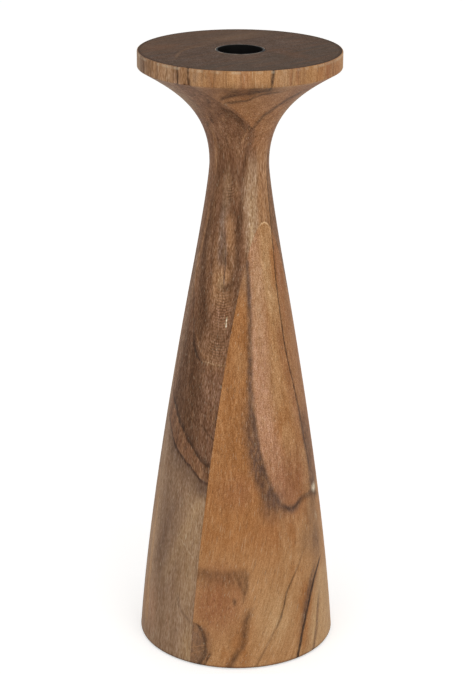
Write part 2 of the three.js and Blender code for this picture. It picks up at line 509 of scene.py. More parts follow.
def add_span(tree, value, start, full, fade, end):
    """1 from full to fade, easing to 0 at the start and at the end."""
    rise = add_node(tree, "ShaderNodeMapRange", value, start, full, **EASED)
    fall = add_node(tree, "ShaderNodeMapRange", value, end, fade, **EASED)
    return add_node(tree, "ShaderNodeMath", rise, fall, operation="MULTIPLY")


def add_patch(tree, spot, middle, reach):
    """A soft patch: 1 at its middle, easing to 0 at its reach."""
    away = add_node(tree, "ShaderNodeVectorMath", spot, (*middle, 0), operation="SUBTRACT")
    spread = add_node(tree, "ShaderNodeVectorMath", away, (*reach, 1), operation="DIVIDE")
    distance = add_node(tree, "ShaderNodeVectorMath", spread, operation="LENGTH").outputs["Value"]
    return add_node(tree, "ShaderNodeMapRange", distance, 1.0, 0.0, **EASED)


def add_largest(tree, shares):
    """The largest of several shares at each place."""
    largest = shares[0]
    for share in shares[1:]:
        largest = add_node(tree, "ShaderNodeMath", largest, share, operation="MAXIMUM")
    return largest


def add_tint(tree, base, share, tint, depth=1.0):
    """Lays a colour over another where the share says, as deep as given."""
    if depth != 1:
        share = add_node(tree, "ShaderNodeMath", share, depth, operation="MULTIPLY")
    return add_node(tree, "ShaderNodeMix", share, base, tint, data_type="RGBA")


def new_material(name):
    """A material whose node tree is still empty, and the tree."""
    material = bpy.data.materials.new(name)
    material.use_nodes = True
    material.node_tree.nodes.clear()
    return material, material.node_tree


def add_surface(tree, tone, relief, strength, depth, **finish):
    """Adds the shader of a finish, with its colour, the bump of its relief and its other values by name."""
    bump = add_node(tree, "ShaderNodeBump", Strength=strength, Distance=depth, Height=relief)
    shader = add_node(tree, "ShaderNodeBsdfPrincipled", tone, Normal=bump, **finish)
    add_node(tree, "ShaderNodeOutputMaterial", shader)


# Marks in the wood. A band follows a course: span is (start, full, fade, end) across it, run is the same
# along it. Its course lists (height, bearing) where it climbs and (bearing, height) where it runs level.
# A patch has its middle and its reach as (bearing, height). On the dish's top, X and Y stand for these two.

Band = namedtuple("Band", "climbs course span run tone depth")
Patch = namedtuple("Patch", "middle reach tone depth")
CLIMBS, LEVEL = True, False
RIM_FOOT, RIM_CLEAR, RIM_TOP, RIM_END = 302.6, 303.2, 312, 313  # run of a line on the rim
RIM_MIDDLE, RIM_REACH = 307, 14  # of a patch on the rim


def line(climbs, course, flanks, run, tone, depth):
    """A band with no flat middle: a grain line with two soft flanks."""
    return Band(climbs, course, (-flanks[0], 0, 0, flanks[1]), run, tone, depth)


def rim_line(bearing, depth, width=0.65, tone="vein"):
    """A thin upright line on the rim, at a bearing."""
    course = [(RIM_FOOT, bearing), (RIM_TOP, bearing)]
    return line(CLIMBS, course, (width, width), (RIM_FOOT, RIM_CLEAR, RIM_TOP, RIM_END), tone, depth)


def rim_patch(bearing, reach, tone, depth):
    """A patch over the whole height of the rim."""
    return Patch((bearing, RIM_MIDDLE), (reach, RIM_REACH), tone, depth)


def add_marks(tree, wood, marks, bearing, height, fray, colours):
    """Lays the marks over the wood, one after another, each fading and deepening with the fray."""
    spot = add_node(tree, "ShaderNodeCombineXYZ", bearing, height)
    for mark in marks:
        if isinstance(mark, Patch):
            share = add_patch(tree, spot, mark.middle, mark.reach)
        else:
            along, across = (height, bearing) if mark.climbs else (bearing, height)
            course = add_course(tree, along, mark.course)
            beside = add_node(tree, "ShaderNodeMath", across, course, operation="SUBTRACT")
            side, stretch = add_span(tree, beside, *mark.span), add_span(tree, along, *mark.run)
            share = add_node(tree, "ShaderNodeMath", side, stretch, operation="MULTIPLY")
        share = add_node(tree, "ShaderNodeMath", share, fray, operation="MULTIPLY")
        wood = add_tint(tree, wood, share, getattr(colours, mark.tone), mark.depth)
    return wood


# Where the front glue line crosses the rim, both boards carry these marks
SEAM_MARKS = [
    Patch((-69.4, 303.8), (2.2, 3.0), "vein", 0.5),
    rim_line(-70.4, 0.8, 0.9),
]

STREAK = [
    (78, -9), (87.3, -11.5), (96.4, -17.5), (103, -20.3), (110.4, -22.6), (120, -25.4), (131, -28),
    (146, -29.6), (155, -29.6), (168, -29), (184, -28.4), (198, -28.7), (212, -30.4),
]
CROOK = [
    (-22, 90), (-11.1, 87), (-5.6, 83.9), (0.5, 82.5), (5.9, 83.3), (10.5, 85.1), (19.9, 85.2), (27, 84),
    (38, 80),
]
RIGHT_VEIN = [
    (86, 27.5), (93.4, 27.2), (102.3, 26.4), (111.5, 24.6), (123.7, 22.5), (137.2, 19.3), (151.6, 15.1),
    (164.4, 12.1), (176, 11.3), (192, 11.2), (203, 12.6), (212, 14.8), (220, 16.2), (228, 18),
    (238.9, 19.6), (248.7, 22.7), (262, 24),
]
FOOT_VEIN = [
    (-5, -4.2), (1.7, -2.0), (9.2, 0.9), (18.3, 4.7), (27.1, 9.2), (33.8, 13.1), (39.5, 17.4), (43.4, 22.2),
    (47.2, 28.3), (49, 33),
]
FOOT_SHADE = [(14, -1), (21.2, 4.6), (29.8, 7.8), (36.5, 11.5), (43, 16), (46.7, 21.6), (48, 26)]
FOOT_THREAD = [
    (-4, -33), (5.4, -26.7), (10.5, -23.5), (16.3, -19.8), (25.3, -13.3), (28.1, -12.2), (33.9, -9.8),
    (39.6, -7.4), (43.5, -4.3), (51.7, 3.3), (57.3, 8.2), (64.5, 20),
]
FOOT_STREAK = [
    (-4, -46), (3.5, -43.3), (8.3, -40.4), (13.7, -36.9), (20.5, -35.2), (27.2, -34.3), (34.4, -30.9),
]
CORNER = [(-5, -64), (1.5, -62.4), (6.1, -59.9), (12.0, -59.5), (17.2, -60.7), (21.0, -63.6), (23.4, -68.5)]
FOOT_STRIPE = [(-5, 9), (4, 12.6), (15.4, 17.1), (28, 21.2), (38, 28)]
SMUDGE = [(-72, 50.6), (-60, 51), (-48, 51.4), (-34, 52)]
FLARE_EDGE = [
    (-80, 296), (-62, 293.4), (-53.1, 290.9), (-47.6, 289), (-43.1, 286.9), (-39.2, 284.7), (-34.6, 282.7),
    (-29.4, 280.6), (-24, 277.4), (-18, 275), (0, 272),
]
FLARE_ARC = [
    (-60, 292.6), (-54.3, 294.7), (-49.6, 296.2), (-42.5, 298), (-34, 299.5), (-26, 300.6), (-10, 302),
]
FLARE_LINE = [
    (-56, 291.5), (-53.2, 291.9), (-43.7, 293.2), (-35.2, 294.4), (-30.5, 296.3), (-24.7, 298.2),
    (-14, 299.2), (4, 300),
]
FLARE_VEIN = [
    (-26, 274.5), (-19.7, 278.2), (-16.2, 280.6), (-12.1, 283.3), (-7.4, 285.9), (-3.2, 288.2),
    (0.1, 290.5), (6, 294.3), (20, 298),
]

FRONT_MARKS = [
    Band(CLIMBS, STREAK, (-2, 4, 12, 26), (74, 92, 224, 236), "rose", 0.9),
    Band(CLIMBS, STREAK, (-90, -80, -5, 2), (40, 74, 188, 206), "amber", 0.95),
    Band(CLIMBS, STREAK, (-90, -80, -5, 2), (186, 202, 250, 260), "fawn", 0.8),
    Band(CLIMBS, RIGHT_VEIN, (-2, 3, 60, 61), (84, 100, 250, 256), "russet", 0.55),
    Band(CLIMBS, RIGHT_VEIN, (-14, -5, 0, 3), (112, 128, 166, 184), "russet", 0.65),
    Patch((4, 97), (34, 28), "russet", 0.8),
    Patch((-10, 74), (34, 20), "russet", 0.25),
    Patch((-46, 95), (20, 18), "russet", 0.35),
    Patch((-54, 34), (30, 28), "russet", 0.9),
    Patch((6, 142), (13, 44), "amber", 0.5),
    Patch((-18, 192), (12, 44), "sapwood", 0.3),
    Patch((-2, 200), (13, 30), "sapwood", 0.4),
    Patch((-16, 25), (20, 24), "sapwood", 0.42),
    Band(CLIMBS, FOOT_VEIN, (2, 9, 60, 61), (-9, -8, 36, 48), "sapwood", 0.5),
    line(CLIMBS, FOOT_STRIPE, (2.4, 2.8), (-9, -8, 24, 36), "smoke", 0.6),
    Patch((24, 60), (15, 20), "smoke", 0.6),
    Patch((10, 62), (10, 12), "smoke", 0.3),
    Patch((24, 76), (15, 12), "smoke", 0.4),
    Patch((-36, 95), (14, 14), "russet", 0.5),
    Patch((-39, 160), (10, 13), "honey", 0.6),
    Band(CLIMBS, CORNER, (-40, -39, 1, 6), (-9, -8, 21, 25), "walnut", 0.66),
    Band(CLIMBS, CORNER, (-40, -39, -1, 1), (-9, -8, 21, 23.5), "ash", 0.4),
    line(CLIMBS, STREAK, (5.8, 4.4), (112, 130, 207, 214), "smoke", 0.8),
    line(CLIMBS, STREAK, (4.0, 3.4), (182, 192, 209, 218), "smoke", 0.6),
    Band(CLIMBS, STREAK, (-14, -4, 0, 4), (80, 92, 118, 152), "smoke", 0.9),
    Patch((-15, 86), (16, 14), "smoke", 0.6),
    line(LEVEL, CROOK, (5.0, 3.0), (-20, -8, 6, 14), "smoke", 0.85),
    line(LEVEL, CROOK, (3.2, 2.4), (4, 12, 34, 42), "umber", 0.7),
    line(LEVEL, CROOK, (1.8, 1.3), (-8, -3, 7, 14), "vein", 0.4),
    line(CLIMBS, RIGHT_VEIN, (1.6, 2.0), (88, 98, 236, 262), "vein", 0.84),
    line(CLIMBS, RIGHT_VEIN, (5.0, 30), (84, 90, 118, 142), "smoke", 0.7),
    Patch((20, 199), (6, 14), "rose", 0.5),
    Patch((19, 41), (6, 12), "smoke", 0.35),
    Patch((-41, 42), (7, 10), "russet", 0.4),
    Patch((29, 85.4), (12, 11), "umber", 0.85),
    Patch((30.6, 85.6), (7.0, 3.6), "cream", 0.85),
    Patch((29, 70.6), (4, 4), "cream", 0.22),
    line(CLIMBS, FOOT_SHADE, (4.4, 2.6), (14, 24, 42, 48), "smoke", 0.7),
    line(CLIMBS, FOOT_VEIN, (5.0, 2.6), (4, 12, 40, 48), "smoke", 0.5),
    line(CLIMBS, FOOT_VEIN, (3.6, 3.2), (28, 36, 45, 50), "umber", 0.7),
    Band(CLIMBS, FOOT_VEIN, (-1.6, -0.4, 0.4, 1.5), (-9, -8, 45, 49), "vein", 0.95),
    line(CLIMBS, FOOT_THREAD, (2.0, 1.5), (-9, -8, 50, 63), "umber", 0.42),
    line(CLIMBS, FOOT_THREAD, (1.1, 1.0), (20, 26, 44, 50), "vein", 0.52),
    line(CLIMBS, FOOT_STREAK, (4.8, 3.4), (-9, -8, 28, 36), "umber", 0.72),
    line(CLIMBS, CORNER, (2.8, 1.8), (-9, -8, 22.6, 23.6), "vein", 0.66),
    line(CLIMBS, [(-4, -61), (2.5, -59.2), (5, -57.8), (8, -56.3), (10, -55)], (1.5, 1.2), (-9, -8, 6, 10),
         "umber", 0.8),
    line(LEVEL, [(-70, 9), (-67.5, 9.9), (-63, 11.2), (-59.6, 12.2)], (0.5, 0.4), (-70, -68, -61, -59),
         "tan", 0.5),
    line(LEVEL, [(-70, 5.6), (-66.8, 6.8), (-63, 8.2), (-60, 9.8)], (0.5, 0.4), (-70, -68, -61, -59),
         "tan", 0.35),
    Patch((-50, 50), (24, 12), "russet", 0.5),
    line(LEVEL, SMUDGE, (11, 4), (-84, -72, -40, -29), "umber", 0.48),
    line(CLIMBS, [(34, -38), (40.8, -36), (46, -35), (54, -35.4)], (3.4, 3.0), (34, 42, 49, 54),
         "umber", 0.55),
    line(CLIMBS, [(41, -36), (43.5, -37.1), (47, -39), (52, -41.6)], (2.4, 2.4), (41, 44, 48, 52),
         "umber", 0.5),
    Patch((-42.1, 37), (2.4, 3.4), "umber", 0.9),
    Band(LEVEL, [(-120, 255), (120, 255)], (0, 4, 46, 48.5), (-130, -125, 125, 130), "sienna", 0.85),
    Band(LEVEL, FLARE_EDGE, (-60, -59, -0.8, 0.3), (-90, -80, -28, -20), "walnut", 0.85),
    Band(CLIMBS, [(270, -57), (310, -57)], (-70, -60, -3, 4), (280, 284, 301, 302.6), "walnut", 0.7),
    # painted shadow under the rim, over the top of the flare and the rim's foot
    Patch((-38, 300.5), (30, 6.5), "umber", 0.75),
    Band(CLIMBS, [(270, 0), (310, 0)], (-10, 2, 70, 71), (286, 291, 301, 302.6), "walnut", 0.5),
    line(LEVEL, FLARE_ARC, (1.8, 3.0), (-58, -53, -30, -12), "vein", 0.75),
    line(LEVEL, [(-50, 299), (-45.3, 299.8), (-40, 301.1), (-32, 302.3), (-20, 303)], (0.9, 1.0),
         (-50, -44, -34, -24), "vein", 0.5),
    line(LEVEL, FLARE_LINE, (1.6, 1.5), (-56, -52, -22, -4), "vein", 0.64),
    line(LEVEL, FLARE_VEIN, (3.8, 4.2), (-26, -20, 4, 18), "umber", 0.8),
    Patch((-53.5, 290.6), (2.6, 1.3), "cream", 0.22),
    line(CLIMBS, [(299, -24.8), (303, -24), (306.5, -23.5), (312, -22.7)], (1.6, 1.4), (299, 301, 312, 313),
         "vein", 0.85),
    Patch((26, 288), (24, 16), "pewter", 0.35),
    # painted highlight down the rim, in pewter
    rim_patch(-15, 10, "pewter", 0.5),
    rim_patch(19, 20, "russet", 0.5),
    rim_patch(-66, 6, "drift", 0.6),
    rim_patch(-57, 7, "walnut", 0.4),
    rim_patch(-51, 5, "walnut", 0.25),
    rim_patch(-39, 6, "russet", 0.5),
    rim_patch(-5, 5, "walnut", 0.35),
    rim_patch(15.2, 3.4, "russet", 0.75),
    *SEAM_MARKS,
    rim_line(-61.5, 0.3, 1.2),
    rim_line(-54.5, 0.35, 1.6),
    rim_line(-40.7, 0.4),
    rim_line(-13.3, 0.6, 1.4, "russet"),
    rim_line(-12.6, 0.3, 0.5),
    rim_line(-9.0, 0.7, 2.4, "russet"),
    rim_line(-8.4, 0.35, 0.6),
    rim_line(21.0, 0.4),
]

LOW_RING = [
    (-124, 138), (-112, 134), (-103, 129.3), (-97.6, 125.7), (-91.1, 122.4), (-85.4, 118.7), (-80.6, 115.5),
    (-76.8, 113.2), (-73.3, 110.8), (-69.1, 108.5), (-64.3, 106.8), (-58, 106),
]
LOWEST_RING = [
    (-124, 127), (-112, 122), (-106, 118.6), (-101.3, 115), (-94.9, 111.1), (-87.2, 107.9), (-80.8, 105.1),
    (-75.1, 102.5), (-70.9, 100.2), (-67.9, 98.5), (-60, 97.4), (-20, 96), (30, 108), (60, 121), (74, 129),
    (88, 140), (100, 152), (112, 168), (124, 188),
]
RIGHT_RING = [(50, 133), (64, 139), (76, 148), (88, 160), (98, 173), (108, 190), (118, 212), (126, 234)]
LEFT_THREAD = [
    (158.4, -77), (159.2, -80), (161.2, -84.8), (163.6, -88), (167.2, -91), (175.7, -95), (186.3, -100.9),
    (196.4, -110.9),
]
EYE_ARC = [
    (196, -54), (199.4, -50), (203, -46), (207.6, -43.5), (215.8, -43.6), (223.3, -40), (234, -36.2),
    (241.7, -36.2), (246.5, -34), (254.7, -35.6), (264, -32),
]
PEWTER_EDGE = [
    (200, -27), (212, -29), (219.3, -30.2), (226.6, -31.6), (235.8, -32.6), (241.3, -33.6), (246, -33.4),
    (253, -29), (260, -25), (268, -22),
]
LEFT_BAND = [
    (160, -84), (170, -84), (182, -85), (191.6, -88.9), (203.5, -93.2), (213.3, -95.6), (224.6, -92.7),
    (232.6, -89.5), (240.3, -89.6), (256, -92),
]

CORE_MARKS = [
    Band(LEVEL, LOWEST_RING, (-200, -150, -2, 0), (-140, -130, 130, 140), "drift", 1.0),
    Band(LEVEL, LOW_RING, (0, 1, 34, 62), (-122, -104, -80, -69), "umber", 0.8),
    Band(LEVEL, LOW_RING, (0, 2, 40, 52), (-84, -72, -40, -30), "smoke", 0.3),
    Band(LEVEL, LOWEST_RING, (-17, -1, 0, 1), (-120, -100, -50, -40), "smoke", 0.65),
    Patch((-98, 62), (20, 56), "smoke", 0.45),
    Patch((-70, 76), (16, 34), "sapwood", 0.2),
    Patch((-74, 46), (12, 34), "sapwood", 0.2),
    line(CLIMBS, [(36, -96), (60, -84), (84, -70), (98, -60)], (8, 7), (30, 54, 82, 98), "sapwood", 0.2),
    line(CLIMBS, [(40, -110), (60, -100), (80, -90), (96, -80)], (6, 5), (36, 60, 82, 98), "smoke", 0.3),
    Patch((-106, 22), (12, 24), "rose", 0.35),
    Patch((-71, 8), (9, 18), "sapwood", 0.4),
    Patch((-114, 60), (12, 70), "pewter", 0.6),
    line(CLIMBS, EYE_ARC, (8, 4.4), (192, 202, 236, 250), "umber", 0.58),
    line(LEVEL, [(-76, 201), (-68.6, 198.7), (-60.9, 197.2), (-55.3, 197.1), (-49.9, 198.1), (-42, 202)],
         (3.4, 3.0), (-76, -66, -50, -42), "umber", 0.65),
    line(CLIMBS, LEFT_BAND, (12, 15), (158, 176, 222, 250), "umber", 0.8),
    Patch((-67, 222), (9, 34), "ash", 0.6),
    Patch((-63, 244), (15, 18), "pewter", 0.45),
    Patch((-51, 217), (9, 26), "fawn", 0.6),
    Patch((-55, 222), (8, 15), "tan", 0.75),
    Patch((-70, 199), (9, 15), "tan", 0.8),
    Patch((-60, 203), (11, 7), "tan", 0.95),
    Patch((-62, 191), (20, 9), "tan", 0.55),
    Patch((-57.5, 196.5), (6, 4.5), "umber", 0.45),
    Patch((-63, 199.5), (7, 6), "sapwood", 0.42),
    Patch((-61, 214), (5, 9), "pewter", 0.45),
    Patch((-58, 182), (20, 12), "rose", 0.4),
    line(CLIMBS, [(168, -51), (176, -49.5), (182, -47), (190, -44.5), (202, -41)], (5, 8),
         (168, 178, 194, 204), "umber", 0.5),
    Patch((-64, 168), (26, 16), "fawn", 0.6),
    Patch((-115, 190), (13, 70), "drift", 0.6),
    line(CLIMBS, [(197, -59.4), (202, -59.1), (208, -59), (213, -59.5), (218, -60.7), (232, -65)],
         (2.2, 2.0), (197, 200, 216, 232), "smoke", 0.8),
    line(CLIMBS, [(186, -102), (195.6, -104), (206.4, -107), (212.5, -104.3), (222.8, -102), (229.7, -99.5),
         (240, -99)], (6, 5), (186, 200, 226, 240), "tan", 0.5),
    line(CLIMBS, LEFT_THREAD, (2.2, 1.8), (158, 159, 192, 198), "vein", 0.6),
    line(CLIMBS, LEFT_THREAD, (3.4, 4.4), (157, 159, 164, 170), "vein", 0.65),
    line(LEVEL, [(-92, 174), (-88.2, 170.5), (-83.3, 165.5), (-74, 161.4), (-66, 160.4)], (1.6, 3.4),
         (-92, -86, -74, -66), "tan", 0.3),
    line(LEVEL, [(-80, 159.2), (-71, 158.9), (-66, 158.6), (-59.3, 158.4), (-48, 158.3)], (0.7, 0.6),
         (-80, -72, -50, -48), "sapwood", 0.28),
    line(LEVEL, [(-76, 128.5), (-70.2, 125.8), (-66.1, 123.7), (-62, 121.5), (-56, 118)], (0.9, 1.3),
         (-76, -69, -58, -54), "vein", 0.55),
    line(LEVEL, LOW_RING, (1.1, 4.0), (-124, -108, -58, -56), "vein", 0.8),
    line(LEVEL, LOWEST_RING, (2.2, 1.0), (-124, -106, -60, -56), "vein", 0.85),
    line(LEVEL, LOWEST_RING, (2.0, 1.2), (50, 56, 112, 124), "vein", 0.7),
    Band(LEVEL, LOWEST_RING, (-20, -2, 0, 1), (50, 56, 112, 124), "smoke", 0.5),
    line(LEVEL, RIGHT_RING, (1.4, 5.0), (52, 58, 112, 124), "vein", 0.65),
    Band(LEVEL, RIGHT_RING, (0, 2, 26, 60), (52, 60, 110, 122), "umber", 0.5),
    Patch((92, 60), (16, 60), "sapwood", 0.3),
    Patch((78, 30), (12, 50), "smoke", 0.3),
    line(CLIMBS, [(-4, 72), (40, 81), (80, 93), (120, 108)], (5, 9), (-9, 6, 90, 116), "sapwood", 0.3),
    line(CLIMBS, [(10, 97), (50, 102), (90, 110), (130, 118)], (5, 6), (8, 26, 90, 124), "smoke", 0.45),
    line(CLIMBS, [(-4, 84), (22, 88.5), (44, 95), (66, 102), (92, 112)], (1.4, 2.6), (-9, -8, 58, 88),
         "umber", 0.6),
    Patch((96, 214), (14, 46), "tan", 0.45),
    Patch((76, 236), (14, 36), "rose", 0.35),
    Patch((-66, 94.5), (12, 8), "smoke", 0.7),
    line(LEVEL, [(-86, 68.5), (-83, 66.5), (-76, 62), (-70, 57), (-66, 53)], (0.5, 0.4),
         (-86, -83, -71, -67), "cream", 0.2),
    line(CLIMBS, [(20, -66), (24.2, -71.7), (30, -78.4), (36, -80.3)], (2.6, 2.2), (20, 25, 32, 38),
         "smoke", 0.4),
    # pewter band beside the eye: paler wood with a painted highlight down the neck
    Band(CLIMBS, PEWTER_EDGE, (-6, 9, 24, 36), (198, 214, 248, 268), "pewter", 0.85),
    line(CLIMBS, [(205, -25), (222, -22), (232, -19.5), (243, -17.5), (256, -15)], (7, 9),
         (206, 220, 236, 250), "sapwood", 0.36),
    Band(CLIMBS, [(216, -2), (230.6, 0.3), (241.5, 2.4), (252, 6), (262.5, 4), (274, -1), (296, 6)],
         (-15, -4, 16, 26), (196, 210, 276, 290), "tan", 0.92),
    line(CLIMBS, RIGHT_VEIN, (2.2, 4.5), (200, 226, 250, 262), "vein", 0.7),
    Band(CLIMBS, RIGHT_VEIN, (1, 3, 36, 66), (188, 214, 270, 296), "fawn", 0.7),
    Band(CLIMBS, [(255, -22), (300, -22)], (0, 8, 90, 100), (258, 269, 292, 300), "sienna", 0.8),
    line(CLIMBS, [(250, -35), (257, -33), (262, -29), (266, -27), (274, -23)], (4.4, 5.4),
         (250, 255, 263, 271), "umber", 0.65),
    line(CLIMBS, [(262, -37), (266.1, -35.9), (270.9, -33.7), (274.4, -29.3), (278.4, -24.5)], (1.0, 0.9),
         (262, 266, 276, 280), "tan", 0.65),
    line(CLIMBS, [(267, -39), (269.1, -37.1), (272.7, -33.1), (277, -28.5)], (1.0, 0.9),
         (267, 269, 276, 279), "tan", 0.5),
    line(LEVEL, [(-64, 288.6), (-55.4, 287.6), (-49.4, 286.9), (-43.3, 284), (-38.2, 281.6),
         (-33.3, 277.4)], (6.5, 1.6), (-62, -54, -36, -28), "umber", 0.85),
    Band(LEVEL, [(-130, 280), (-70, 280)], (0, 10, 30, 31), (-140, -130, -96, -80), "drift", 0.7),
    line(CLIMBS, [(254, -91), (262, -89.5), (271, -87.3), (282, -90)], (5, 6), (250, 256, 272, 282),
         "tan", 0.4),
    Band(LEVEL, [(-180, 302.7), (180, 302.7)], (0, 0.6, 12, 13), (-190, -185, 185, 190), "rim", 0.85),
    # painted shade at the rim's left end and on the flare just under it
    Patch((-118, 307), (26, 16), "umber", 1.0),
    Patch((-100, 292), (22, 12), "pewter", 0.22),
    rim_patch(-83, 5, "pewter", 0.6),
    rim_patch(-78, 4, "smoke", 0.45),
    Band(CLIMBS, [(170, -54.4), (180.5, -53.8), (190, -53.2)], (-1.0, -0.3, 0.3, 1.0),
         (177, 178.2, 181.8, 183.2), "cream", 1.2),
    *SEAM_MARKS,
    rim_line(-76.9, 0.9, 1.1),
    rim_line(-84.0, 0.3),
    rim_line(-92.0, 0.45, 1.4),
    rim_line(-99.0, 0.35),
    rim_line(-107.0, 0.5),
    rim_line(-115.0, 0.3, 1.5),
]

TOP_MARKS = [
    Patch((17, 24), (26, 9), "drift", 0.24),
    Patch((29, 0), (9, 17), "ash", 0.25),
    Patch((12, -24), (8, 24), "russet", 0.16),
    Patch((-12, -25), (11, 17), "ash", 0.22),
    Patch((-24, 6), (11, 7), "vein", 0.28),
    Patch((-26, 28), (16, 11), "russet", 0.15),
    line(LEVEL, [(-40, 2), (-35.3, 5.9), (-29.3, 11.3), (-21.8, 16), (-13.7, 18.1), (-7.6, 16.6), (0, 14)],
         (2.2, 1.6), (-40, -34, -10, -2), "tan", 0.16),
]


# Wood: what all three boards share. A tint says how deep a colour is laid, and levels are the values of a
# noise between which a thing comes up.

FIGURE = Noise(13, 30, 3.0, 0.55)  # slow drift of tone and of the grain lines
BANDS = Noise(4.2, 90, 2.0, 0.6)  # colour bands along the grain
FIBRES = Noise(0.8, 7, 4.0, 0.7)  # bundles of fibres, drawn as coarse as they need to show
SPECKS = Noise(0.38, 0.8, 2.0, 0.6)  # single vessels cut across, drawn coarser than the real 0.2 mm
PORES = Noise(0.62, 4.5, 1.0, 0.5)  # open vessels of teak, drawn a little coarse to show
STRANDS = Noise(0.45, 9, 1.0, 0.5)  # pale strands between the vessels
FRAY = Noise(1.6, 4.5, 3.0, 0.65)  # how the marks break up

GRAIN_LEVELS = (0.25, 0.75)
BAND_TONES, FIBRE_TONES, SPECK_TONES = (0.85, 1.13), (0.72, 1.28), (0.6, 1.4)
GRAIN_WARMTH = (0.78, 1.0, 1.35)  # powers of the tone in red, green and blue: darker grain is warmer
PORE_LEVELS, PORE_TINT = (0.64, 0.7), 0.28
STRAND_LEVELS, STRAND_TINT = (0.66, 0.72), 0.2
FRAY_LEVELS, FRAY_DEPTHS = (0.35, 0.65), (0.68, 1.24)

PORE_DEPTH, GRAIN_BUMP = 0.1 * MM, 0.35
SIDE_ROUGHNESS = (0.66, 0.54)
END_ROUGHER = 0.3  # end grain is rougher by this
OILED = {"IOR": 1.5, "Specular IOR Level": 0.14}  # oil leaves wood satin, with hardly a highlight

FOOT = core_low.z * M_TO_MM
FOOT_CONTACT_SHADE, CONTACT_SHADE_TINT = (2.4, 0.8), 0.6  # heights between which the painted shade at the foot comes up, darkening the wood where it meets the floor
END_EASE = 0.18  # below the top face, where its dark end grain begins
PALE_BELOW, PALE_EDGE = 1.8, 0.1  # depth of the paler band under the top face, sanded wood with a painted highlight along the top edge, and its soft edge
PALE_LEVELS, PALE_TINT = (0.42, 0.6), 0.22
EDGE_SANDED = 0.6  # width of the pale sanded edge round the dish's top face
EDGE_WEAR, WEAR_TINT = 2.2, 0.6  # width of the darker handled edge inside it
TOP_EDGE = dish_back_high.y * M_TO_MM - EDGE_SANDED  # radius of the dark end grain on the dish's top
END_STREAK_WIDTH, END_STREAK_RUN = 3.0, 26  # flat-sawn boards show streaks along their faces at their ends
END_STREAK_DETAIL = 4.0
END_STREAK_LEVELS, END_STREAK_TINT = (0.4, 0.7), 0.26

GLUE_HALF, GLUE_EDGE = 0.05, 0.02  # pale glue on each side of the glue line, and its soft edge
ARCH_TOP, ARCH_REACH = (4, 228), (26, 8)  # bearing and height of the arch's top, and how far its glue shows
TREE_LEAN = 0.06  # share of the height that counts in a ring's size, so that the rings arch
RING_DRIFT = 9.0  # how far the figure moves a ring
LATE_WOOD = (0.3, 0.86, 0.94, 1.0)  # share of a year's growth over which it darkens and ends


def add_rings(tree, place, pith, spacing, drift):
    """Late wood of growth rings about a pith at an X and Y, which lean as trees do."""
    away = add_node(tree, "ShaderNodeVectorMath", place.point, (*pith, 0), operation="SUBTRACT")
    flat = add_node(tree, "ShaderNodeVectorMath", away, (1, 1, TREE_LEAN), operation="MULTIPLY")
    ring = add_node(tree, "ShaderNodeVectorMath", flat, operation="LENGTH").outputs["Value"]
    ring = add_waver(tree, ring, (drift, RING_DRIFT))
    years = add_node(tree, "ShaderNodeMath", ring, spacing, operation="DIVIDE")
    season = add_node(tree, "ShaderNodeMath", years, operation="FRACT")
    return add_span(tree, season, *LATE_WOOD)


def add_glue(tree, wood, place, bearing, height, colours):
    """Pale glue at the top of the front board's arch, where the turned surface skims the glue line."""
    away = add_node(tree, "ShaderNodeMath", place.y, FRONT_GLUE * M_TO_MM, operation="SUBTRACT")
    film = add_span(tree, away, -GLUE_HALF - GLUE_EDGE, -GLUE_HALF, GLUE_HALF, GLUE_HALF + GLUE_EDGE)
    spot = add_node(tree, "ShaderNodeCombineXYZ", bearing, height)
    skimmed = add_patch(tree, spot, ARCH_TOP, ARCH_REACH)
    share = add_node(tree, "ShaderNodeMath", film, skimmed, operation="MULTIPLY")
    return add_tint(tree, wood, share, colours.glue)


def add_fray(tree, place, noise):
    """How strongly a mark shows from place to place, about 1 on average."""
    frayed = add_grain_noise(tree, place.point, noise)
    return add_node(tree, "ShaderNodeMapRange", frayed, *FRAY_LEVELS, *FRAY_DEPTHS)


def add_end_grain(tree, place, outward, tone, end_grain, colours):
    """Dark oiled end grain of the dish's top, with painted shade in its colour: streaks along the boards,
    soft stains and a handled edge.
    """
    sizes = (1 / END_STREAK_RUN, 1 / END_STREAK_WIDTH, 0)
    scaled = add_node(tree, "ShaderNodeMapping", place.point, Scale=sizes)
    noise = add_node(tree, "ShaderNodeTexNoise", scaled, Scale=1.0, Detail=END_STREAK_DETAIL)
    streaks = add_node(tree, "ShaderNodeMapRange", noise, *END_STREAK_LEVELS, **EASED)
    wood = add_tint(tree, end_grain, streaks, colours.walnut, END_STREAK_TINT)
    wood = add_marks(tree, wood, TOP_MARKS, place.x, place.y, add_fray(tree, place, FRAY), colours)
    worn = add_node(tree, "ShaderNodeMapRange", outward, TOP_EDGE - EDGE_WEAR, TOP_EDGE, **EASED)
    wood = add_tint(tree, wood, worn, colours.vein, WEAR_TINT)
    return add_node(tree, "ShaderNodeMix", 1.0, wood, tone, data_type="RGBA", blend_type="MULTIPLY")


def add_ends(tree, height, outward, top):
    """1 on the underside and on the top face inside its sanded edge, where the boards show end grain."""
    over = add_node(tree, "ShaderNodeMapRange", height, top - END_EASE, top - END_EASE / 2, **EASED)
    under = add_node(tree, "ShaderNodeMapRange", height, FOOT + END_EASE, FOOT + END_EASE / 2, **EASED)
    inside = add_node(tree, "ShaderNodeMapRange", outward, TOP_EDGE + END_EASE, TOP_EDGE, **EASED)
    return add_node(tree, "ShaderNodeMath", add_largest(tree, [over, under]), inside, operation="MULTIPLY")


def add_sanded_and_highlight_band(tree, height, bands, top):
    """A paler band under the dish's top edge, sanded wood with a painted highlight, broken up by the colour
    bands.
    """
    full, fade = top - PALE_BELOW / 2, top - END_EASE - PALE_EDGE
    band = add_span(tree, height, top - PALE_BELOW, full, fade, top - END_EASE)
    broken = add_node(tree, "ShaderNodeMapRange", bands, *PALE_LEVELS, **EASED)
    return add_node(tree, "ShaderNodeMath", band, broken, operation="MULTIPLY")


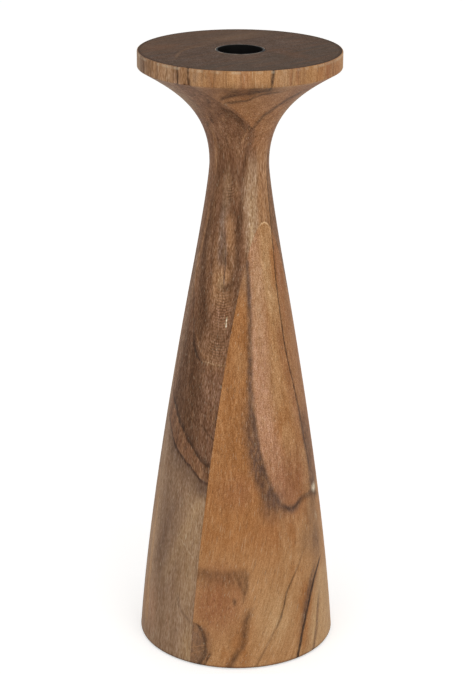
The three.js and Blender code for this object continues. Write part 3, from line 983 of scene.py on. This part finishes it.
def add_grain_tone(tree, noises, contrast):
    """How dark or light the grain makes the wood, in red, green and blue."""
    tone = 1.0
    for noise, tones in zip(noises, (BAND_TONES, FIBRE_TONES, SPECK_TONES)):
        share = add_node(tree, "ShaderNodeMapRange", noise, *GRAIN_LEVELS, *tones)
        tone = add_node(tree, "ShaderNodeMath", tone, share, operation="MULTIPLY")
    tone = add_node(tree, "ShaderNodeMath", tone, contrast, operation="POWER")
    return add_node(tree, "ShaderNodeVectorMath", tone, GRAIN_WARMTH, operation="POWER")


def add_wood_surface(tree, wood, place, colours, end_grain, top, grain):
    """Adds fibres, pores, a paler band with a painted highlight under the top edge, painted shade round the
    foot, dark end grain with painted shade on the dish's top, and an oiled satin surface.
    """
    lean = add_node(tree, "ShaderNodeCombineXYZ", add_course(tree, place.height, grain.lean))
    upright = add_node(tree, "ShaderNodeVectorMath", place.point, lean, operation="SUBTRACT")
    bands, fibres, specks, vessels, strands = [
        add_grain_noise(tree, upright, noise) for noise in (BANDS, FIBRES, grain.specks, PORES, STRANDS)
    ]
    contrast = add_course(tree, place.height, grain.contrast)
    tone = add_grain_tone(tree, (bands, fibres, specks), contrast)
    wood = add_node(tree, "ShaderNodeMix", 1.0, wood, tone, data_type="RGBA", blend_type="MULTIPLY")
    pores = add_node(tree, "ShaderNodeMapRange", vessels, *PORE_LEVELS, **EASED)
    wood = add_tint(tree, wood, pores, colours.vein, PORE_TINT)
    pale = add_node(tree, "ShaderNodeMapRange", strands, *STRAND_LEVELS, **EASED)
    wood = add_tint(tree, wood, pale, colours.cream, STRAND_TINT)
    # paler band under the top edge: sanded wood with a painted highlight
    wood = add_tint(tree, wood, add_sanded_and_highlight_band(tree, place.height, bands, top), colours.cream, PALE_TINT)
    # painted shade round the foot, where the wood meets the floor
    contact_shade = add_node(tree, "ShaderNodeMapRange", place.height, *FOOT_CONTACT_SHADE, **EASED)
    wood = add_tint(tree, wood, contact_shade, colours.vein, CONTACT_SHADE_TINT)
    outward = add_outward(tree, place)
    ends = add_ends(tree, place.height, outward, top)
    wood = add_tint(tree, wood, ends, add_end_grain(tree, place, outward, tone, end_grain, colours))
    sides = add_node(tree, "ShaderNodeMapRange", fibres, *NOISE_CORE, *SIDE_ROUGHNESS)
    roughness = add_node(tree, "ShaderNodeMath", ends, END_ROUGHER, sides, operation="MULTIPLY_ADD")
    relief = add_node(tree, "ShaderNodeMath", pores, -1.0, fibres, operation="MULTIPLY_ADD")
    add_surface(tree, wood, relief, GRAIN_BUMP, PORE_DEPTH, Roughness=roughness, **OILED)


# How a board's grain runs: lean lists (height, how far the grain has moved along X), contrast lists
# (height, strength of the grain), and specks are its vessels
Grain = namedtuple("Grain", "lean contrast specks")

# Front board

FRONT_GRAIN = Grain(
    [(0, 0), (25, 11), (50, 20), (75, 26), (105, 30), (312, 31)],
    [(0, 0.95), (65, 1.0), (105, 1.45), (200, 1.45), (290, 1.7), (302, 1.1), (312, 1.0)],
    SPECKS._replace(run=0.6),
)
FRONT_JITTER = Noise(2.2, 5.5, 2.0, 0.6)
FRONT_WANDER = Wander(bearing=(2.5, 2.0), height=(2.5, 1.6))
AMBER_LEVELS = (0.5, 0.7)


def front_wood(colours, top):
    """Oiled teak of the front board: amber heartwood crossed by a soft grey streak and thin dark veins."""
    material, tree = new_material("oiled_teak_front_board")
    place = add_place(tree)
    figure, jitter = [add_grain_noise(tree, place.point, noise) for noise in (FIGURE, FRONT_JITTER)]
    bearing, height = add_wandering(tree, place, (figure, jitter), FRONT_WANDER)
    warm = add_node(tree, "ShaderNodeMapRange", figure, *AMBER_LEVELS, **EASED)
    wood = add_tint(tree, colours.honey, warm, colours.amber)
    wood = add_marks(tree, wood, FRONT_MARKS, bearing, height, add_fray(tree, place, FRAY), colours)
    wood = add_glue(tree, wood, place, bearing, height, colours)
    add_wood_surface(tree, wood, place, colours, colours.front_end_grain, top, FRONT_GRAIN)
    return material


# Core board

CORE_GRAIN = Grain(
    [(0, 0), (150, 2), (312, 0)],
    [(0, 1.15), (90, 1.25), (130, 2.1), (215, 2.0), (235, 1.6), (290, 1.8), (302, 1.7), (312, 1.4)],
    SPECKS._replace(run=2.6),
)
CORE_JITTER = Noise(1.6, 5.0, 2.0, 0.6)
CORE_STREAKS = Noise(2.4, 60, 3.0, 0.6)
CORE_FRAY = FRAY._replace(run=18)
CORE_WANDER = Wander(bearing=(2.0, 2.0), height=(2.0, 1.4))
FAWN_LEVELS, UMBER_LEVELS = (0.52, 0.66), (0.45, 0.32)
CORE_PITH, CORE_RING, CORE_RING_TINT = (-60, 4), 5.5, 0.2  # X and Y of the pith, and from ring to ring
EYE_BEARING, EYE_HEIGHT = -61.2, 213
EYE_STRETCH = 3.5  # the eye's rings are this much longer along the grain
EYE_REACH = 24  # how far the tones below reach
EYE_TONES = [
    (0, "ash"), (2, "walnut"), (4.2, "tan"), (5.6, "fawn"), (7, "umber"), (8.6, "walnut"), (10, "fawn"),
    (11.6, "umber"), (14, "walnut"), (15.6, "fawn"), (17, "walnut"), (24, "walnut"),
]
EYE_WAVER = (3.0, 2.0)  # how far the figure and the jitter move its rings
EYE_SIDE = (4, -4)  # it fades in over these places, from the far side of the axis to the near one
EYE_FADE, EYE_TINT = (22, 13), 0.4
HATCH_RISE = 0.01  # how fast the hatch lines climb away from the middle of the eye
HATCH_STEP, HATCH_WAVER = 1.4, 1.6  # from one hatch line to the next, and how far the jitter moves it
HATCH_LEVELS, HATCH_TINT = (-0.3, 0.9), 0.75
HATCHED = [((-59, 185), (19, 18)), ((-62, 167), (20, 12)), ((-55, 243), (15, 9))]  # middle and reach


def add_hatch(tree, wood, place, jitter, colours):
    """Fine level lines above and below the eye, where the saw met the rings at a grazing angle."""
    bearing = add_bearing(tree, place)
    aside = add_node(tree, "ShaderNodeMath", bearing, EYE_BEARING, operation="SUBTRACT")
    square = add_node(tree, "ShaderNodeMath", aside, aside, operation="MULTIPLY")
    level = add_node(tree, "ShaderNodeMath", square, -HATCH_RISE, place.height, operation="MULTIPLY_ADD")
    level = add_waver(tree, level, (jitter, HATCH_WAVER))
    phase = add_node(tree, "ShaderNodeMath", level, math.tau / HATCH_STEP, operation="MULTIPLY")
    wave = add_node(tree, "ShaderNodeMath", phase, operation="SINE")
    lines = add_node(tree, "ShaderNodeMapRange", wave, *HATCH_LEVELS, **EASED)
    spot = add_node(tree, "ShaderNodeCombineXYZ", bearing, place.height)
    where = add_largest(tree, [add_patch(tree, spot, *patch) for patch in HATCHED])
    share = add_node(tree, "ShaderNodeMath", lines, where, operation="MULTIPLY")
    return add_tint(tree, wood, share, colours.umber, HATCH_TINT)


def add_eye(tree, wood, place, noises, colours):
    """The eye, where the rings lie flat to the turned surface and show nested."""
    middle, turn = (0, 0, -EYE_HEIGHT), (0, 0, math.radians(-EYE_BEARING))
    turned = add_node(tree, "ShaderNodeMapping", place.point, Location=middle, Rotation=turn)
    from_eye = add_node(tree, "ShaderNodeSeparateXYZ", turned).outputs
    squeezed = add_node(tree, "ShaderNodeMath", from_eye["Z"], EYE_STRETCH, operation="DIVIDE")
    flat = add_node(tree, "ShaderNodeCombineXYZ", from_eye["X"], squeezed)
    ring = add_node(tree, "ShaderNodeVectorMath", flat, operation="LENGTH").outputs["Value"]
    ring = add_waver(tree, ring, *zip(noises, EYE_WAVER))
    reached = add_node(tree, "ShaderNodeMath", ring, EYE_REACH, operation="DIVIDE")
    tones = add_node(tree, "ShaderNodeValToRGB", reached)
    while len(tones.color_ramp.elements) < len(EYE_TONES):
        tones.color_ramp.elements.new(0.5)
    for element, (reach, tone) in zip(tones.color_ramp.elements, EYE_TONES):
        element.position = reach / EYE_REACH
        element.color = getattr(colours, tone)
    near_side = add_node(tree, "ShaderNodeMapRange", from_eye["Y"], *EYE_SIDE, **EASED)
    inner = add_node(tree, "ShaderNodeMapRange", ring, *EYE_FADE, **EASED)
    share = add_node(tree, "ShaderNodeMath", near_side, inner, operation="MULTIPLY")
    return add_tint(tree, wood, share, tones, EYE_TINT)


def core_wood(colours, top):
    """Oiled teak of the core board: dark figured heartwood, rings round an eye, and greyer wood below."""
    material, tree = new_material("oiled_teak_core_board")
    place = add_place(tree)
    figure, jitter, streaks = [
        add_grain_noise(tree, place.point, noise) for noise in (FIGURE, CORE_JITTER, CORE_STREAKS)
    ]
    bearing, height = add_wandering(tree, place, (figure, jitter), CORE_WANDER)
    light = add_node(tree, "ShaderNodeMapRange", streaks, *FAWN_LEVELS, **EASED)
    wood = add_tint(tree, colours.walnut, light, colours.fawn)
    dark = add_node(tree, "ShaderNodeMapRange", streaks, *UMBER_LEVELS, **EASED)
    wood = add_tint(tree, wood, dark, colours.umber)
    rings = add_rings(tree, place, CORE_PITH, CORE_RING, figure)
    wood = add_tint(tree, wood, rings, colours.umber, CORE_RING_TINT)
    wood = add_eye(tree, wood, place, (figure, jitter), colours)
    wood = add_marks(tree, wood, CORE_MARKS, bearing, height, add_fray(tree, place, CORE_FRAY), colours)
    wood = add_hatch(tree, wood, place, jitter, colours)
    wood = add_glue(tree, wood, place, bearing, height, colours)
    add_wood_surface(tree, wood, place, colours, colours.core_end_grain, top, CORE_GRAIN)
    return material


# Back board

BACK_GRAIN = Grain(
    [(0, 0), (80, 9), (160, 12), (312, 16)],
    [(0, 1.0), (312, 1.0)],
    SPECKS,
)
BACK_FIGURE = FIGURE._replace(run=60)
BACK_CLOUDS = Noise(26, 60, 2.0, 0.5)
PEWTER_LEVELS = (0.4, 0.65)
CLOUD_LEVELS, CLOUD_TINT = (0.48, 0.66), 0.6
BACK_PITH, BACK_RING = (14, 74), 6.5
BACK_RING_LEVELS, BACK_RING_TINTS = (0.35, 0.65), (0.5, 0.15)  # light clouds fade the rings


def back_wood(colours, top):
    """Oiled teak of the back board: plain heartwood whose growth rings arch across the turned face."""
    material, tree = new_material("oiled_teak_back_board")
    place = add_place(tree)
    figure, clouds = [add_grain_noise(tree, place.point, noise) for noise in (BACK_FIGURE, BACK_CLOUDS)]
    grey = add_node(tree, "ShaderNodeMapRange", figure, *PEWTER_LEVELS, **EASED)
    wood = add_tint(tree, colours.drift, grey, colours.pewter)
    light = add_node(tree, "ShaderNodeMapRange", clouds, *CLOUD_LEVELS, **EASED)
    wood = add_tint(tree, wood, light, colours.honey, CLOUD_TINT)
    rings = add_rings(tree, place, BACK_PITH, BACK_RING, figure)
    tints = add_node(tree, "ShaderNodeMapRange", clouds, *BACK_RING_LEVELS, *BACK_RING_TINTS)
    share = add_node(tree, "ShaderNodeMath", rings, tints, operation="MULTIPLY")
    wood = add_tint(tree, wood, share, colours.umber)
    add_wood_surface(tree, wood, place, colours, colours.back_end_grain, top, BACK_GRAIN)
    return material


# Cup

LIP_WEAR = 0.7  # width of the lip's outer edge where the lacquer is rubbed
RUBS_PER_MM = 0.15  # rubbed places round the lip
RUB_LEVELS, RUB_TINT = (0.32, 0.58), 0.9
CUP_SPRAY = 0.8  # size of the orange peel of the sprayed coat
SPRAY_DEPTH, SPRAY_BUMP = 0.02 * MM, 0.2
COAT_ROUGHNESS = (0.46, 0.6)
LACQUERED = {"Specular IOR Level": 0.1}  # hardly a highlight shows in the bore


def cup_steel(colours):
    """Black lacquered steel: a smooth sprayed satin coat, rubbed to warm grey in places round the lip."""
    material, tree = new_material("black_lacquered_steel")
    place = add_place(tree)
    lip = LIP_RADIUS * M_TO_MM
    outward = add_outward(tree, place)
    edge = add_node(tree, "ShaderNodeMapRange", outward, lip - LIP_WEAR, lip - LIP_WEAR / 2, **EASED)
    rubs = add_node(tree, "ShaderNodeTexNoise", place.point, Scale=RUBS_PER_MM)
    rubbed = add_node(tree, "ShaderNodeMapRange", rubs, *RUB_LEVELS, **EASED)
    share = add_node(tree, "ShaderNodeMath", edge, rubbed, operation="MULTIPLY")
    coat = add_tint(tree, colours.lacquer, share, colours.rubbed_steel, RUB_TINT)
    spray = add_node(tree, "ShaderNodeTexNoise", place.point, Scale=1 / CUP_SPRAY)
    roughness = add_node(tree, "ShaderNodeMapRange", spray, *NOISE_CORE, *COAT_ROUGHNESS)
    add_surface(tree, coat, spray, SPRAY_BUMP, SPRAY_DEPTH, Roughness=roughness, **LACQUERED)
    return material


# Felt

FELT_TUFT = 0.7  # size of the clumps of matted wool
TUFT_DETAIL, TUFT_CRISPNESS = 5.0, 0.75  # how fine and how hard the fibres in a clump come out
TUFT_TONES = (0.65, 1.35)
TUFT_DEPTH, TUFT_BUMP = 0.2 * MM, 0.8
WOOLLY = {"Roughness": 0.95, "Sheen Weight": 0.3}  # loose fibre ends give wool a soft sheen


def wool_felt(colours):
    """Matted wool felt: no weave, but fine clumps of fibre that catch the light unevenly."""
    material, tree = new_material("wool_felt")
    place = add_place(tree)
    finer = {"Detail": TUFT_DETAIL, "Roughness": TUFT_CRISPNESS}
    tufts = add_node(tree, "ShaderNodeTexNoise", place.point, Scale=1 / FELT_TUFT, **finer)
    tone = add_node(tree, "ShaderNodeMapRange", tufts, *NOISE_CORE, *TUFT_TONES)
    wool = add_node(tree, "ShaderNodeMix", 1.0, colours.felt, tone, data_type="RGBA", blend_type="MULTIPLY")
    add_surface(tree, wool, tufts, TUFT_BUMP, TUFT_DEPTH, **WOOLLY)
    return material


# Operators

BODY = "root"
TURNS = 256  # facets round the turned boards
OUTLINE_STEPS = 24  # points on each stretch of their outline
SMALL_TURNS, SMALL_STEPS = 128, 12  # the same for the cup and the felt
BLANK_MARGIN = 3 * MM  # how far the blank's blocks reach past the turned body


def turn_whole(name, outline, finish):
    """Turns an outline to a whole piece with a finish."""
    drawn = outline.as_object(f"{name}_outline", SMALL_STEPS)
    sizes = {"Outline": drawn, "Turns": SMALL_TURNS, "Finish": finish}
    piece = make_piece(name, turned_piece_tree(), sizes)
    bpy.data.objects.remove(drawn)
    return piece


class CANDLEHOLDER_OT_boards(bpy.types.Operator):
    """Turns the five pieces of the boards and gives them their wood"""

    bl_idname = "candleholder.boards"
    bl_label = "Turned boards"

    def execute(self, context):
        scene = context.scene
        body, cup, felt = scene.holder_body, scene.holder_cup, scene.holder_felt
        top = body.height * M_TO_MM
        woods = {
            "front": front_wood(scene.holder_colours, top),
            "core": core_wood(scene.holder_colours, top),
            "back": back_wood(scene.holder_colours, top),
        }
        half_gap = body.glue_gap / 2
        reach = max(body.base_diameter, body.dish_diameter) / 2 + BLANK_MARGIN
        front, back = (-reach, FRONT_GLUE - half_gap), (BACK_GLUE + half_gap, reach)
        core = (FRONT_GLUE + half_gap, BACK_GLUE - half_gap)
        cone, dish = (-BLANK_MARGIN, NECK_HEIGHT), (NECK_HEIGHT, body.height + BLANK_MARGIN)
        blocks = {
            "core_board": ("core", core, (cone[0], dish[1])),
            "cone_front_board": ("front", front, cone),
            "cone_back_board": ("back", back, cone),
            "dish_front_board": ("front", front, dish),
            "dish_back_board": ("back", back, dish),
        }
        outline = body_outline(body, cup, felt).as_object("body_outline", OUTLINE_STEPS)
        tree = turned_board_tree()
        for node, (wood, across, upright) in blocks.items():
            sizes = {
                "Outline": outline,
                "Turns": TURNS,
                "Finish": woods[wood],
                "Middle": (0, sum(across) / 2, sum(upright) / 2),
                "Extent": (2 * reach, across[1] - across[0], upright[1] - upright[0]),
            }
            board = make_piece(f"turned_{node}", tree, sizes)
            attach(board, BODY)
            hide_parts(node)
        bpy.data.objects.remove(outline)
        return {"FINISHED"}


class CANDLEHOLDER_OT_candle_cup(bpy.types.Operator):
    """Turns the steel cup that holds the candle"""

    bl_idname = "candleholder.candle_cup"
    bl_label = "Candle cup"

    def execute(self, context):
        scene = context.scene
        steel = cup_steel(scene.holder_colours)
        cup = turn_whole("steel_candle_cup", cup_outline(scene.holder_cup), steel)
        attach(cup, BODY)
        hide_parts("candle_cup")
        return {"FINISHED"}


class CANDLEHOLDER_OT_base_felt(bpy.types.Operator):
    """Cuts the felt disc under the base"""

    bl_idname = "candleholder.base_felt"
    bl_label = "Base felt"

    def execute(self, context):
        scene = context.scene
        felt = scene.holder_felt
        disc = turn_whole("felt_disc", felt_outline(felt), wool_felt(scene.holder_colours))
        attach(disc, BODY)
        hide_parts("base_felt")
        return {"FINISHED"}


# Stage: the photograph's camera, plain light and a pale floor

PHOTO_HEIGHT = 674  # in pixels
FOCAL_LENGTH = 2024.9  # in the photograph's pixels
SENSOR = 36.0  # along the picture's longer side
CAMERA_BEARING = math.radians(-41.2)
CAMERA_DISTANCE = 0.969  # from the turning axis, along the floor
CAMERA_HEIGHT = 0.5122
CAMERA_DOWN = math.radians(19.82)
CAMERA_LEFT = math.radians(0.166)  # the axis stands a little right of the picture's middle
CAMERA_ROLL = math.radians(0.35)

PAPER, WHITE = "#E9E8E6", "#FFFFFF"
FLOOR_SIZE = 12.0
WORLD_LEVEL = 0.645
FLOOR_GLOW = 0.475  # tops the floor up to white, for the camera and reflections only
Lamp = namedtuple("Lamp", "bearing distance height width tall watts")  # bearing from the camera, in degrees
LAMPS = {
    "key_softbox": Lamp(28, 1.6, 0.85, 1.1, 1.5, 8.1),
    "fill_softbox": Lamp(-34, 1.8, 0.92, 1.2, 1.6, 6.2),
}


def place_at(bearing, distance, height):
    """The place at a bearing, so far from the turning axis and so high."""
    return Vector((math.sin(bearing) * distance, -math.cos(bearing) * distance, height))


def add_seen(tree):
    """1 for the rays that show the background, and 0 for those that carry light to the holder."""
    rays = add_node(tree, "ShaderNodeLightPath")
    kinds = ("Is Camera Ray", "Is Glossy Ray", "Is Transmission Ray")
    return add_largest(tree, [rays.outputs[kind] for kind in kinds])


class CANDLEHOLDER_OT_stage(bpy.types.Operator):
    """Sets up the floor, the soft light and the camera"""

    bl_idname = "candleholder.stage"
    bl_label = "Studio stage"

    def execute(self, context):
        scene = context.scene
        scene.view_settings.view_transform = "Standard"
        self.add_camera(scene)
        self.add_floor(scene)
        self.add_light(scene)
        return {"FINISHED"}

    def add_camera(self, scene):
        camera = bpy.data.cameras.new("photo_camera")
        camera.sensor_width = SENSOR
        camera.lens = FOCAL_LENGTH / PHOTO_HEIGHT * SENSOR
        photo = bpy.data.objects.new("photo_camera", camera)
        scene.collection.objects.link(photo)
        place = place_at(CAMERA_BEARING, CAMERA_DISTANCE, CAMERA_HEIGHT)
        turn = Matrix.Rotation(CAMERA_BEARING + CAMERA_LEFT, 4, "Z")
        tilt = Matrix.Rotation(math.pi / 2 - CAMERA_DOWN, 4, "X")
        roll = Matrix.Rotation(CAMERA_ROLL, 4, "Z")
        photo.matrix_world = Matrix.Translation(place) @ turn @ tilt @ roll
        scene.camera = photo

    def add_floor(self, scene):
        mesh = bpy.data.meshes.new("floor")
        half = FLOOR_SIZE / 2
        corners = [(-half, -half, 0), (half, -half, 0), (half, half, 0), (-half, half, 0)]
        mesh.from_pydata(corners, [], [(0, 1, 2, 3)])
        floor = bpy.data.objects.new("floor", mesh)
        scene.collection.objects.link(floor)
        material, tree = new_material("matt_white_paper")
        paper = add_node(tree, "ShaderNodeBsdfDiffuse", linear(PAPER))
        glow = add_node(tree, "ShaderNodeMath", add_seen(tree), FLOOR_GLOW, operation="MULTIPLY")
        white = add_node(tree, "ShaderNodeEmission", linear(WHITE), glow)
        both = add_node(tree, "ShaderNodeAddShader", paper, white)
        add_node(tree, "ShaderNodeOutputMaterial", both)
        mesh.materials.append(material)

    def add_light(self, scene):
        world = bpy.data.worlds.new("soft_surround")
        scene.world = world
        world.use_nodes = True
        tree = world.node_tree
        tree.nodes.clear()
        level = add_node(tree, "ShaderNodeMapRange", add_seen(tree), 0.0, 1.0, WORLD_LEVEL, 1.0)
        surround = add_node(tree, "ShaderNodeBackground", linear(WHITE), level)
        add_node(tree, "ShaderNodeOutputWorld", surround)
        aim = Vector((0, 0, (cad_low.z + cad_high.z) / 2))
        for name, lamp in LAMPS.items():
            light = bpy.data.lights.new(name, "AREA")
            light.shape = "RECTANGLE"
            light.size = lamp.width
            light.size_y = lamp.tall
            light.energy = lamp.watts
            softbox = bpy.data.objects.new(name, light)
            scene.collection.objects.link(softbox)
            bearing = CAMERA_BEARING + math.radians(lamp.bearing)
            softbox.location = place_at(bearing, lamp.distance, lamp.height)
            softbox.rotation_euler = (aim - softbox.location).to_track_quat("-Z", "Y").to_euler()


class CANDLEHOLDER_PT_sidebar(bpy.types.Panel):
    """Lists the holder's sizes and the steps that build it"""

    bl_idname = "CANDLEHOLDER_PT_sidebar"
    bl_label = "Candle holder"
    bl_space_type = "VIEW_3D"
    bl_region_type = "UI"
    bl_category = "Candle holder"

    def draw(self, context):
        for operator in OPERATORS:
            self.layout.operator(operator.bl_idname)
        for group in SETTINGS:
            settings = getattr(context.scene, group)
            for name in settings.bl_rna.properties.keys():
                if name not in ("rna_type", "name"):
                    self.layout.prop(settings, name)


OPERATORS = (
    CANDLEHOLDER_OT_stage,
    CANDLEHOLDER_OT_boards,
    CANDLEHOLDER_OT_candle_cup,
    CANDLEHOLDER_OT_base_felt,
)
SETTINGS = {
    "holder_body": TurnedBodySizes,
    "holder_cup": CandleCupSizes,
    "holder_felt": FeltSizes,
    "holder_colours": FinishColours,
}


def register():
    for group in SETTINGS.values():
        bpy.utils.register_class(group)
    for name, group in SETTINGS.items():
        setattr(bpy.types.Scene, name, bpy.props.PointerProperty(type=group))
    for operator in OPERATORS:
        bpy.utils.register_class(operator)
    bpy.utils.register_class(CANDLEHOLDER_PT_sidebar)


def unregister():
    bpy.utils.unregister_class(CANDLEHOLDER_PT_sidebar)
    for operator in reversed(OPERATORS):
        bpy.utils.unregister_class(operator)
    for name in SETTINGS:
        delattr(bpy.types.Scene, name)
    for group in SETTINGS.values():
        bpy.utils.unregister_class(group)


def main():
    register()
    bpy.ops.candleholder.stage()
    bpy.ops.candleholder.boards()
    bpy.ops.candleholder.candle_cup()
    bpy.ops.candleholder.base_felt()


if __name__ == "__main__":
    main()
